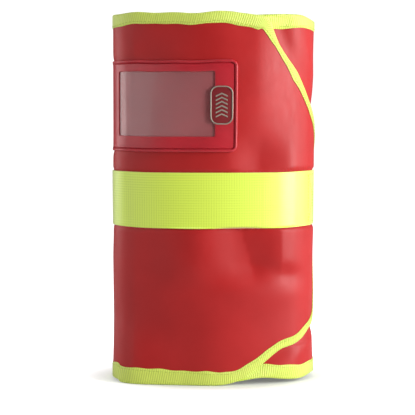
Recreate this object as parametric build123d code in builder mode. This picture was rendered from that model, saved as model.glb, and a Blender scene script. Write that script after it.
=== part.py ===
from build123d import *
import os
from math import asin, atan2, cos, degrees, radians, sin, sqrt

# Fire blanket in its roll-up wrap, standing on end. Millimetres, +Z up, the front faces -Y.
# The wrap is one padded sheet wound about one and a half turns round the rolled blanket:
# inner front panel, right side, back, left side, then the outer flap over the front, whose
# tongue passes round the right side. It is drawn about the middle of its oval, and moved at the
# end to put the origin on the floor at the middle of the whole object.

# Driving dimensions
HEIGHT = 340.0  # of the bound sheet
HALF_WIDTH = 95.0  # of the oval, outside the outer turn
HALF_DEPTH = 52.0
SIDE_RADIUS = 40.0  # of the oval's two ends

COVER = 0.7  # coated fabric, outside
PADDING = 2.0  # closed-cell foam
LINING = 0.5  # coated fabric, inside
BINDING = 0.6  # edge tape, folded over the sheet
BINDING_WIDTH = 12.5  # each leg of the folded tape
TURN_GAP = 0.3  # between the bindings of two turns

STRAP_WIDTH = 50.8
STRAP = 1.6
STRAP_CENTRE = 168.0  # height of the strap's middle
HOOK_AND_LOOP = 0.55  # each half
HOOK_AND_LOOP_WIDTH = 45.0

INNER_END_X = -55.0  # the sheet's inner end, under the flap
FLAP_HINGE = 175.0  # degrees round the left side, just behind its widest point
TONGUE_HINGE = -62.0  # degrees round the right side, at the front corner
TONGUE_END = 25.0  # degrees, behind the right side's widest point
TAB_HINGE = 4.0
TAB_END = 28.5
STRAP_BASE_START = 28.0

# The flap's free edge, as (distance round the front from its middle, height, corner radius)
UPPER_CORNER = (43.0, HEIGHT, 20.0)
UPPER_SHOULDER = (137.0, 208.0, 30.0)
LOWER_SHOULDER = (137.0, 140.0, 30.0)
LOWER_CHIN = (118.0, 57.0, 22.0)
LOWER_CORNER = (20.0, 0.0, 40.0)

ID_RIGHT = 22.0
ID_BOTTOM, ID_TOP = 212.0, 296.0
ID_RADIUS = 6.0
WINDOW_LEFT, WINDOW_RIGHT = -83.0, 2.0
WINDOW_BOTTOM, WINDOW_TOP = 226.0, 285.5
WINDOW_RADIUS = 4.0
ID_BACKING = 0.5
ID_FILM = 0.4
ID_FRAME = 1.4
ID_RIB = 0.9  # the raised rim, above the frame
ID_RIB_WIDTH = 2.5
ID_HEM = 1.5  # how far the film reaches under the frame
BADGE_WIDTH, BADGE_HEIGHT, BADGE = 20.0, 35.0, 1.2
BADGE_X, BADGE_Z = 8.0, 254.3
BADGE_RADIUS, BADGE_RIM = 7.0, 1.6

BLANKET_RECESS = 19.0  # below the rim, at each end
BLANKET_GAP = 0.8  # round the roll, inside the binding
ROLL_EDGE = 4.0
TAPE_WIDTH, TAPE_LENGTH, TAPE = 25.0, 48.0, 1.6
TAPE_ANCHOR = 12.0
TAPE_X = 6.0  # from the middle to each tape's anchor
TAPE_LIFT = 0.3
TAPE_TIP = 5.0

# The oval: two ends of SIDE_RADIUS, and a flatter front and back tangent to them
side_x = HALF_WIDTH - SIDE_RADIUS
arc_shift = (side_x**2 - (HALF_DEPTH - SIDE_RADIUS) ** 2) / (2 * (HALF_DEPTH - SIDE_RADIUS))
front_radius = HALF_DEPTH + arc_shift
side_angle = degrees(atan2(arc_shift, side_x))

# One turn lies a whole step inside the next; the left side leads from one to the other
sheet = COVER + PADDING + LINING
turn_step = sheet + 2 * BINDING + TURN_GAP
left_radius = SIDE_RADIUS - turn_step / 2
left_y = -turn_step * (front_radius - SIDE_RADIUS) / (2 * arc_shift)
left_x = -sqrt((front_radius - left_radius) ** 2 - (arc_shift - left_y) ** 2)
back_left_angle = degrees(atan2(left_y + arc_shift, left_x))
left_front_angle = degrees(atan2(left_y - arc_shift, left_x)) + 360


def arc(centre, radius, start, end):
    """One stretch of the sheet: its outer face's centre, radius and angles in degrees."""
    return centre, radius, start, end


inner_radius = front_radius - turn_step
inner_end_angle = -90 + degrees(asin(INNER_END_X / inner_radius))
inner_front = arc((0, arc_shift), inner_radius, inner_end_angle, -side_angle)
right_side = arc((side_x, 0), SIDE_RADIUS - turn_step, -side_angle, side_angle)
back = arc((0, -arc_shift), inner_radius, side_angle, back_left_angle)
left_back = arc((left_x, left_y), left_radius, back_left_angle, FLAP_HINGE)
left_front = arc((left_x, left_y), left_radius, FLAP_HINGE, left_front_angle)
flap_front = arc((0, arc_shift), front_radius, left_front_angle, 360 - side_angle)
flap_corner = arc((side_x, 0), SIDE_RADIUS, -side_angle, TONGUE_HINGE)
tongue_side = arc((side_x, 0), SIDE_RADIUS, TONGUE_HINGE, TONGUE_END)

wrap_path = [inner_front, right_side, back, left_back]
flap_path = [left_front, flap_front, flap_corner]
tongue_path = [tongue_side]


def strip(path, inner, outer, bottom, top, mode=Mode.ADD):
    """One layer of the wound sheet: between two offsets of the path, and two heights."""

    def corner(stretch, angle, offset):
        (x, y), radius, _, _ = stretch
        reach = radius + offset
        return x + reach * cos(radians(angle)), y + reach * sin(radians(angle))

    with BuildSketch(Plane.XY.offset(bottom)) as profile:
        with BuildLine():
            for offset in (inner, outer):
                for centre, radius, start, end in path:
                    CenterArc(centre, radius + offset, start, end - start)
            for stretch, angle in ((path[0], path[0][2]), (path[-1], path[-1][3])):
                Line(corner(stretch, angle, inner), corner(stretch, angle, outer))
        make_face()
    extrude(profile.sketch, amount=top - bottom, mode=mode)


def on_tongue(point):
    """A free-edge corner, from distance round the front to distance across the tongue's chord."""
    along, height, radius = point
    flat_half = front_radius * radians(90 - side_angle)
    turned = -side_angle + degrees((along - flat_half) / SIDE_RADIUS)
    return SIDE_RADIUS * sin(radians(turned - tongue_middle)), height, radius


def on_front(point):
    """A free-edge corner, from distance round the front to its X."""
    along, height, radius = point
    return front_radius * sin(along / front_radius), height, radius


def carried_past(inside, seam, reach):
    """The point where the edge from one corner through the seam gets to a given distance."""
    slope = (seam[1] - inside[1]) / (seam[0] - inside[0])
    return reach, seam[1] + slope * (reach - seam[0]), 0.0


def edge_height(start, end, along):
    """Height of a straight run of the free edge at a distance round the front."""
    return start[1] + (end[1] - start[1]) * (along - start[0]) / (end[0] - start[0])


# The seam at the tongue's hinge, and the free edge on each side of it
tongue_middle = (TONGUE_HINGE + TONGUE_END) / 2
seam_along = front_radius * radians(90 - side_angle) + SIDE_RADIUS * radians(side_angle + TONGUE_HINGE)
seam_x = side_x + SIDE_RADIUS * cos(radians(TONGUE_HINGE))
seam_across = SIDE_RADIUS * sin(radians(TONGUE_HINGE - tongue_middle))
seam_top = edge_height(UPPER_CORNER, UPPER_SHOULDER, seam_along)
seam_foot = edge_height(LOWER_CORNER, LOWER_CHIN, seam_along)
PAST_SEAM = 30.0  # the outlines run on past the seam and the hinge, where the layers end
past_hinge = -HALF_WIDTH - PAST_SEAM

flap_outline = [
    (past_hinge, 0.0, 0.0),
    on_front(LOWER_CORNER),
    carried_past(on_front(LOWER_CORNER), (seam_x, seam_foot), seam_x + PAST_SEAM),
    carried_past(on_front(UPPER_CORNER), (seam_x, seam_top), seam_x + PAST_SEAM),
    on_front(UPPER_CORNER),
    (past_hinge, HEIGHT, 0.0),
]
tongue_outline = [
    carried_past(on_tongue(LOWER_CHIN), (seam_across, seam_foot), seam_across - PAST_SEAM),
    on_tongue(LOWER_CHIN),
    on_tongue(LOWER_SHOULDER),
    on_tongue(UPPER_SHOULDER),
    carried_past(on_tongue(UPPER_SHOULDER), (seam_across, seam_top), seam_across - PAST_SEAM),
]
tongue_plane = Plane(
    origin=(side_x, 0, 0),
    x_dir=(-sin(radians(tongue_middle)), cos(radians(tongue_middle)), 0),
    z_dir=(cos(radians(tongue_middle)), sin(radians(tongue_middle)), 0),
)
REACH = 2 * HALF_WIDTH  # further than any layer from its outline's plane


def cut_to_outline(plane, corners, inset=0.0, mode=Mode.INTERSECT):
    """Trim the part in hand to an outline with a radius at each corner, or cut that outline away."""
    with BuildSketch(plane) as outline:
        with BuildLine():
            points = [(x, z) for x, z, _ in corners]
            FilletPolyline(*points, radius=[radius for _, _, radius in corners], close=True)
        make_face()
        if inset:
            offset(amount=-inset, mode=Mode.REPLACE)
    extrude(outline.sketch, amount=REACH, both=True, mode=mode)


def starting_at(path, angle):
    """The same path, with its first stretch starting at another angle."""
    centre, radius, _, end = path[0]
    return [arc(centre, radius, angle, end)] + path[1:]


# Each body's sheet at its full thickness, inside the binding's fold
inner_start = inner_end_angle + degrees(BINDING / inner_radius)
with BuildPart() as wrap_sheet:
    strip(starting_at(wrap_path, inner_start), -sheet, 0, BINDING, HEIGHT - BINDING)
with BuildPart() as flap_sheet:
    strip(flap_path, -sheet, 0, 0, HEIGHT)
    cut_to_outline(Plane.XZ, flap_outline, BINDING)
with BuildPart() as tongue_sheet:
    strip(tongue_path, -sheet, 0, 0, HEIGHT)
    cut_to_outline(tongue_plane, tongue_outline, BINDING)


def sheet_layer(whole_sheet, path, inner, outer):
    """One layer of a body's sheet, between two offsets."""
    strip(path, inner, outer, 0, HEIGHT)
    add(whole_sheet.part, mode=Mode.INTERSECT)


strap_bottom = STRAP_CENTRE - STRAP_WIDTH / 2
strap_top = STRAP_CENTRE + STRAP_WIDTH / 2
patch_bottom = STRAP_CENTRE - HOOK_AND_LOOP_WIDTH / 2
patch_top = STRAP_CENTRE + HOOK_AND_LOOP_WIDTH / 2
padding_outside = -COVER
padding_inside = -COVER - PADDING

# The wrap: inner front panel, right side, back and half of the left side
with BuildPart() as wrap_cover:
    sheet_layer(wrap_sheet, wrap_path, padding_outside, 0)
with BuildPart() as wrap_padding:
    sheet_layer(wrap_sheet, wrap_path, padding_inside, padding_outside)
with BuildPart() as wrap_lining:
    sheet_layer(wrap_sheet, wrap_path, -sheet, padding_inside)
with BuildPart() as wrap_binding:
    leg_angle = inner_end_angle + degrees(BINDING_WIDTH / inner_radius)
    leg_path = starting_at(wrap_path, leg_angle)
    strip(wrap_path, -sheet - BINDING, BINDING, 0, HEIGHT)
    strip(leg_path, -sheet - BINDING, BINDING, BINDING_WIDTH, HEIGHT - BINDING_WIDTH, Mode.SUBTRACT)
    add(wrap_sheet.part, mode=Mode.SUBTRACT)

# The outer flap, from the left side to the right front corner
with BuildPart() as flap_cover:
    sheet_layer(flap_sheet, flap_path, padding_outside, 0)
with BuildPart() as flap_padding:
    sheet_layer(flap_sheet, flap_path, padding_inside, padding_outside)
with BuildPart() as flap_lining:
    sheet_layer(flap_sheet, flap_path, -sheet, padding_inside)
with BuildPart() as flap_binding:
    strip(flap_path, -sheet - BINDING, BINDING, 0, HEIGHT)
    cut_to_outline(Plane.XZ, flap_outline)
    cut_to_outline(Plane.XZ, flap_outline, BINDING_WIDTH, Mode.SUBTRACT)
    add(flap_sheet.part, mode=Mode.SUBTRACT)

# The tongue, from the corner round the right side
with BuildPart() as tongue_cover:
    sheet_layer(tongue_sheet, tongue_path, padding_outside, 0)
with BuildPart() as tongue_padding:
    sheet_layer(tongue_sheet, tongue_path, padding_inside, padding_outside)
with BuildPart() as tongue_lining:
    sheet_layer(tongue_sheet, tongue_path, -sheet, padding_inside)
with BuildPart() as tongue_binding:
    strip(tongue_path, -sheet - BINDING, BINDING, 0, HEIGHT)
    cut_to_outline(tongue_plane, tongue_outline)
    cut_to_outline(tongue_plane, tongue_outline, BINDING_WIDTH, Mode.SUBTRACT)
    add(tongue_sheet.part, mode=Mode.SUBTRACT)

# The webbing strap: sewn across the back, the flap and the tongue, with a free grip at its end
STRAP_END = 3.0  # degrees, short of the tongue's binding
TAB_LIFT = 0.8  # the grip lies over the binding
strap_base_path = [arc(*right_side[:2], STRAP_BASE_START, side_angle), back, left_back]
with BuildPart() as strap_base:
    strip(strap_base_path, 0, STRAP, strap_bottom, strap_top)
with BuildPart() as flap_strap:
    strip(flap_path, 0, STRAP, strap_bottom, strap_top)
with BuildPart() as tongue_strap:
    strip([arc(*tongue_side[:2], TONGUE_HINGE, STRAP_END)], 0, STRAP, strap_bottom, strap_top)
with BuildPart() as strap_pull_tab:
    strip([arc(*tongue_side[:2], TAB_HINGE, TAB_END)], TAB_LIFT, TAB_LIFT + STRAP, strap_bottom, strap_top)

# Hook on the tongue's lining, loop on the inner panel's cover beneath it
PATCH_START, PATCH_END = -50.0, 2.0  # degrees round the right side
with BuildPart() as loop_patch:
    strip([arc(*right_side[:2], PATCH_START, PATCH_END)], 0, HOOK_AND_LOOP, patch_bottom, patch_top)
with BuildPart() as hook_patch:
    patch_path = [arc(*tongue_side[:2], PATCH_START, PATCH_END)]
    strip(patch_path, -sheet - HOOK_AND_LOOP, -sheet, patch_bottom, patch_top)

# The card pocket: a backing sheet, a clear film and a moulded frame with a raised rim
ID_START = 178.5  # degrees round the left side
id_path = starting_at(flap_path, ID_START)
film_outside = ID_BACKING + ID_FILM
frame_outside = ID_BACKING + ID_FRAME


def pocket_corners(left, right, bottom, top, radius):
    """A rounded rectangle on the front, seen square on."""
    return [(x, z, radius) for x, z in ((left, bottom), (right, bottom), (right, top), (left, top))]


pocket = pocket_corners(past_hinge, ID_RIGHT, ID_BOTTOM, ID_TOP, ID_RADIUS)
window = pocket_corners(WINDOW_LEFT, WINDOW_RIGHT, WINDOW_BOTTOM, WINDOW_TOP, WINDOW_RADIUS)
with BuildPart() as id_backing:
    strip(id_path, 0, ID_BACKING, ID_BOTTOM, ID_TOP)
    cut_to_outline(Plane.XZ, pocket)
with BuildPart() as id_window:
    strip(id_path, ID_BACKING, film_outside, ID_BOTTOM, ID_TOP)
    cut_to_outline(Plane.XZ, window, -ID_HEM)
with BuildPart() as id_rim:
    strip(id_path, frame_outside, frame_outside + ID_RIB, ID_BOTTOM, ID_TOP)
    cut_to_outline(Plane.XZ, pocket)
    cut_to_outline(Plane.XZ, pocket, ID_RIB_WIDTH, Mode.SUBTRACT)
with BuildPart() as id_frame:
    strip(id_path, ID_BACKING, frame_outside, ID_BOTTOM, ID_TOP)
    cut_to_outline(Plane.XZ, pocket)
    cut_to_outline(Plane.XZ, window, 0.0, Mode.SUBTRACT)
    add(id_rim.part)
    add(id_window.part, mode=Mode.SUBTRACT)

# A plain badge on the frame's right border, with a raised edge
badge_left, badge_right = BADGE_X - BADGE_WIDTH / 2, BADGE_X + BADGE_WIDTH / 2
badge_bottom, badge_top = BADGE_Z - BADGE_HEIGHT / 2, BADGE_Z + BADGE_HEIGHT / 2
badge_outline = pocket_corners(badge_left, badge_right, badge_bottom, badge_top, BADGE_RADIUS)
with BuildPart() as badge:
    strip([flap_front], frame_outside, frame_outside + BADGE, badge_bottom, badge_top)
    cut_to_outline(Plane.XZ, badge_outline)
with BuildPart() as badge_dish:
    strip([flap_front], frame_outside + BADGE / 2, frame_outside + BADGE, badge_bottom, badge_top)
    cut_to_outline(Plane.XZ, badge_outline, BADGE_RIM)
badge.part -= badge_dish.part

# The rolled blanket, inside the wrap and set back from both rims
roll_inset = turn_step + sheet + BINDING + BLANKET_GAP
roll_top = HEIGHT - BLANKET_RECESS
with BuildPart() as blanket_roll:
    with BuildSketch(Plane.XY.offset(BLANKET_RECESS)):
        with BuildLine():
            for side in (-1, 1):
                facing = -side * 90
                half_turn = 90 - side_angle
                flat_radius = front_radius - roll_inset
                CenterArc((0, side * arc_shift), flat_radius, facing - half_turn, 2 * half_turn)
                facing = 90 - side * 90
                end_radius = SIDE_RADIUS - roll_inset
                CenterArc((side * side_x, 0), end_radius, facing - side_angle, 2 * side_angle)
        make_face()
    extrude(amount=roll_top - BLANKET_RECESS)
    fillet(blanket_roll.edges().filter_by(GeomType.CIRCLE), ROLL_EDGE)


def tape(side, near, far, bottom, top, tip_radius=0.0):
    """A flat length of tape on top of the roll, from one distance to another on one side."""
    with BuildSketch(Plane.XY.offset(bottom)) as outline:
        with Locations((side * (near + far) / 2, 0)):
            Rectangle(far - near, TAPE_WIDTH)
        if tip_radius:
            tip = Axis.X if side > 0 else -Axis.X
            fillet(outline.vertices().group_by(tip)[-1], tip_radius)
    extrude(outline.sketch, amount=top - bottom)


# Two pull tapes lying on the roll, each sewn down at its inner end
tape_hinge_x = TAPE_X + TAPE_ANCHOR
tape_bottom = roll_top + TAPE_LIFT
tape_top = tape_bottom + TAPE
with BuildPart() as tape_anchor_left:
    tape(-1, TAPE_X, tape_hinge_x, roll_top, tape_top)
with BuildPart() as tape_anchor_right:
    tape(1, TAPE_X, tape_hinge_x, roll_top, tape_top)
with BuildPart() as pull_tape_left:
    tape(-1, tape_hinge_x, tape_hinge_x + TAPE_LENGTH, tape_bottom, tape_top, TAPE_TIP)
with BuildPart() as pull_tape_right:
    tape(1, tape_hinge_x, tape_hinge_x + TAPE_LENGTH, tape_bottom, tape_top, TAPE_TIP)

pieces = {
    "wrap_cover": wrap_cover,
    "wrap_padding": wrap_padding,
    "wrap_lining": wrap_lining,
    "wrap_binding": wrap_binding,
    "strap_base": strap_base,
    "loop_patch": loop_patch,
    "flap_cover": flap_cover,
    "flap_padding": flap_padding,
    "flap_lining": flap_lining,
    "flap_binding": flap_binding,
    "flap_strap": flap_strap,
    "id_backing": id_backing,
    "id_window": id_window,
    "id_frame": id_frame,
    "badge": badge,
    "tongue_cover": tongue_cover,
    "tongue_padding": tongue_padding,
    "tongue_lining": tongue_lining,
    "tongue_binding": tongue_binding,
    "tongue_strap": tongue_strap,
    "hook_patch": hook_patch,
    "strap_pull_tab": strap_pull_tab,
    "blanket_roll": blanket_roll,
    "tape_anchor_left": tape_anchor_left,
    "tape_anchor_right": tape_anchor_right,
    "pull_tape_left": pull_tape_left,
    "pull_tape_right": pull_tape_right,
}
# Everything moves so that the origin is at the bottom centre of the whole object
middle = Compound([piece.part for piece in pieces.values()]).bounding_box().center()
to_origin = Location((-middle.X, -middle.Y, 0))
os.makedirs("parts", exist_ok=True)
for name, piece in pieces.items():
    piece.part.label = name
    export_step(piece.part.moved(to_origin), f"parts/{name}.step")


def moved_point(centre, radius, angle, offset):
    """A point at an offset from an arc's outer face, after the move."""
    reach = radius + offset
    x = centre[0] + reach * cos(radians(angle)) - middle.X
    y = centre[1] + reach * sin(radians(angle)) - middle.Y
    return round(x, 3), round(y, 3)


# Each fold's axis runs up the outermost face, so that the layers part as it opens
print("oval centre", round(-middle.X, 3), round(-middle.Y, 3))
print("flap hinge", moved_point(*left_front[:2], FLAP_HINGE, STRAP))
print("tongue hinge", moved_point(*tongue_side[:2], TONGUE_HINGE, STRAP))
print("pull tab hinge", moved_point(*tongue_side[:2], TAB_HINGE, TAB_LIFT + STRAP))
print("pull tape hinges, from the oval centre", tape_hinge_x, "height", round(tape_top, 3))
print("middle of the bound edge at the back", moved_point(*back[:2], 90, -sheet / 2))
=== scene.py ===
from math import asin, atan2, cos, pi, radians, sin, sqrt

import bpy
import numpy as np
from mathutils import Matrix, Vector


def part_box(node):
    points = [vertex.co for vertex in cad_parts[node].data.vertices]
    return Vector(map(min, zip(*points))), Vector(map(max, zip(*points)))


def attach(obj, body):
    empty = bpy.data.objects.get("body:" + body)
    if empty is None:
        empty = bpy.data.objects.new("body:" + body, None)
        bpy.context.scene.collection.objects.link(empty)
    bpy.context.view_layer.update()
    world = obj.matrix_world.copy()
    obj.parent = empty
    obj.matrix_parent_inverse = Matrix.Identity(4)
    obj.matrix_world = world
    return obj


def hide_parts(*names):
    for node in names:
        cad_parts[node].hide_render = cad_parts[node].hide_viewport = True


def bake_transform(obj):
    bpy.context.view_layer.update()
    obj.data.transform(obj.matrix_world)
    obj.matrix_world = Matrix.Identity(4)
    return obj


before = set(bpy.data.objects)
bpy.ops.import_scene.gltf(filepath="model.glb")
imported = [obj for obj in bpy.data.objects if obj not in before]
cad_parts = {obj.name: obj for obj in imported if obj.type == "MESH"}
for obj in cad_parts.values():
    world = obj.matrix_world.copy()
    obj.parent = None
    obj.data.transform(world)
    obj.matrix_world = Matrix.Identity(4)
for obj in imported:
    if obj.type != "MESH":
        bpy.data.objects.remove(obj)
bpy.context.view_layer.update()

# ---------------------------------------------------------------- camera
# The picture is square. The camera stands a little above the object's middle and looks
# slightly down.
mm = 0.001
LENS_WIDTH = 36.0
CAMERA_DISTANCE = 1150 * mm  # in front of the front face
CAMERA_HEIGHT = 234.8 * mm
CAMERA_TILT = radians(3.56)  # downwards
CAMERA_TURN = radians(0.225)  # to the left
FIELD = 0.3259  # the picture's width over its distance

rolled = [np.array(corner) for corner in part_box("blanket_roll")]
centre_x, centre_y = ((rolled[0] + rolled[1]) / 2)[:2]


def make_camera():
    data = bpy.data.cameras.new("camera")
    data.sensor_width = LENS_WIDTH
    data.lens = LENS_WIDTH / FIELD
    camera = bpy.data.objects.new("camera", data)
    camera.location = (centre_x, centre_y - HALF_DEPTH - CAMERA_DISTANCE, CAMERA_HEIGHT)
    camera.rotation_euler = (pi / 2 - CAMERA_TILT, 0, CAMERA_TURN)
    bpy.context.collection.objects.link(camera)
    bpy.context.scene.camera = camera


# ---------------------------------------------------------------- the wound sheet, in plan
# The same arcs as the CAD model: the wrap is one sheet, wound from its inner end under the flap,
# past the right side, the back and the left side, over the front and round the right side again.
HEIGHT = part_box("wrap_binding")[1][2]
HALF_WIDTH = 95 * mm
HALF_DEPTH = 52 * mm
SIDE_RADIUS = 40 * mm
COVER = 0.7 * mm
PADDING = 2.0 * mm
LINING = 0.5 * mm
BINDING = 0.6 * mm
TURN_GAP = 0.3 * mm
STRAP = 1.6 * mm
SHEET = COVER + PADDING + LINING
STEP = SHEET + 2 * BINDING + TURN_GAP
INNER_END_X = -55 * mm
FLAP_HINGE = radians(175)
TONGUE_HINGE = radians(-62)
TONGUE_END = radians(25)

side_x = HALF_WIDTH - SIDE_RADIUS
flat_shift = (side_x**2 - (HALF_DEPTH - SIDE_RADIUS) ** 2) / (2 * (HALF_DEPTH - SIDE_RADIUS))
FRONT_RADIUS = HALF_DEPTH + flat_shift
side_angle = atan2(flat_shift, side_x)
left_radius = SIDE_RADIUS - STEP / 2
left_y = -STEP * (FRONT_RADIUS - SIDE_RADIUS) / (2 * flat_shift)
left_x = -sqrt((FRONT_RADIUS - left_radius) ** 2 - (flat_shift - left_y) ** 2)
back_left = atan2(left_y + flat_shift, left_x)
left_front = atan2(left_y - flat_shift, left_x) + 2 * pi
inner_radius = FRONT_RADIUS - STEP
inner_start = -pi / 2 + asin(INNER_END_X / inner_radius)

# centre x, centre y, radius of the outer face, first angle, last angle
STRETCHES = np.array(
    [
        (0, flat_shift, inner_radius, inner_start, -side_angle),
        (side_x, 0, SIDE_RADIUS - STEP, -side_angle, side_angle),
        (0, -flat_shift, inner_radius, side_angle, back_left),
        (left_x, left_y, left_radius, back_left, left_front),
        (0, flat_shift, FRONT_RADIUS, left_front, 2 * pi - side_angle),
        (side_x, 0, SIDE_RADIUS, 2 * pi - side_angle, 2 * pi + TONGUE_END),
    ]
)
lengths = STRETCHES[:, 2] * (STRETCHES[:, 4] - STRETCHES[:, 3])
starts = np.concatenate([[0], np.cumsum(lengths)])
SHEET_END = starts[-1]


def along_at(stretch, angle):
    """Distance along the sheet at an angle of one stretch."""
    return starts[stretch] + STRETCHES[stretch, 2] * (angle - STRETCHES[stretch, 3])


FRONT_MIDDLE = along_at(4, 1.5 * pi)
FLAP_SEAM = along_at(3, FLAP_HINGE)
TONGUE_SEAM = along_at(5, 2 * pi + TONGUE_HINGE)
RIGHT_START = starts[1]
BACK_START = starts[2]


def plan(along):
    """Outer face of the sheet in plan: x, y and the outward normal, about the oval's centre."""
    along = np.asarray(along, float)
    i = np.clip(np.searchsorted(starts, along, side="right") - 1, 0, len(STRETCHES) - 1)
    cx, cy, radius, first, _ = np.moveaxis(STRETCHES[i], -1, 0)
    angle = first + (along - starts[i]) / radius
    nx, ny = np.cos(angle), np.sin(angle)
    return cx + radius * nx, cy + radius * ny, nx, ny


def smooth(value, low, high):
    t = np.clip((value - low) / (high - low), 0, 1)
    return t * t * (3 - 2 * t)


def bump(value, middle, width):
    return np.exp(-(((value - middle) / width) ** 2))


# ---------------------------------------------------------------- the free edge of the sheet
# Points of the flap's free edge: distance round the front from its middle, and height.
UPPER_EDGE = np.array(
    [(18, 340), (29, 338.6), (39, 337), (45, 336.6), (49.5, 335), (53, 330), (56, 322.5),
     (61, 312), (70, 299), (80, 286), (88, 273), (96, 260), (107, 246), (118, 233), (128, 219),
     (134, 206), (136.6, 190), (137, 175)]
) * mm
LOWER_EDGE = np.array(
    [(2, 0), (11, 0.7), (20, 2.6), (30, 7), (40, 13.5), (50, 21), (58, 27), (66, 31.5), (78, 34.5), (87, 38.5),
     (97, 45), (108, 51), (116, 58), (121, 70), (125, 84), (130, 106), (134, 130), (136.6, 152),
     (137, 165)]
) * mm


def spline(points, count):
    """A Catmull-Rom curve through a list of points."""
    p = np.vstack([2 * points[0] - points[1], points, 2 * points[-1] - points[-2]])
    t = np.linspace(0, len(points) - 1, count)
    k = np.clip(t.astype(int), 0, len(points) - 2)
    f = (t - k)[:, None]
    a, b, c, d = p[k], p[k + 1], p[k + 2], p[k + 3]
    return 0.5 * (2 * b + (c - a) * f + (2 * a - 5 * b + 4 * c - d) * f**2 + (3 * b - a - 3 * c + d) * f**3)


upper_curve = spline(UPPER_EDGE, 300)
lower_curve = spline(LOWER_EDGE, 300)
INNER_CORNER = 14 * mm  # radius of the corners at the sheet's inner end


def edge_heights(along):
    """The sheet's lowest and highest points at a distance along it."""
    along = np.asarray(along, float)
    on_front = along - FRONT_MIDDLE
    top = np.interp(on_front, upper_curve[:, 0], upper_curve[:, 1], left=HEIGHT)
    foot = np.interp(on_front, lower_curve[:, 0], lower_curve[:, 1], left=0.0)
    corner = np.clip(1 - along / INNER_CORNER, 0, 1)
    cut = INNER_CORNER * (1 - np.sqrt(np.clip(1 - corner**2, 0, 1)))
    return foot + cut, top - cut


def flap_edge_at(height):
    """Distance round the front of the flap's free edge at a height."""
    upper = np.interp(-height, -upper_curve[:, 1], upper_curve[:, 0])
    lower = np.interp(height, lower_curve[:, 1], lower_curve[:, 0])
    return np.minimum(upper, lower)


# ---------------------------------------------------------------- how the sheet hangs
STRAP_BOTTOM, STRAP_TOP = (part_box("flap_strap")[i][2] for i in (0, 1))
STRAP_MIDDLE = (STRAP_BOTTOM + STRAP_TOP) / 2
STRAP_HALF = (STRAP_TOP - STRAP_BOTTOM) / 2


def trough(x, left, bottom, right, left_crest, depth, right_crest):
    """Across a dent: a crest at the left, the bottom, and a crest at the right."""
    down = smooth(x, left, bottom)
    up = 0.4 * smooth(x, bottom, right) + 0.6 * np.clip((x - bottom) / (right - bottom), 0, 1)
    edge = left_crest * smooth(x, left - 45 * mm, left) * (1 - down) + depth * down * (1 - up)
    return edge + right_crest * up * (1 - smooth(x, right, right + 35 * mm))


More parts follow.
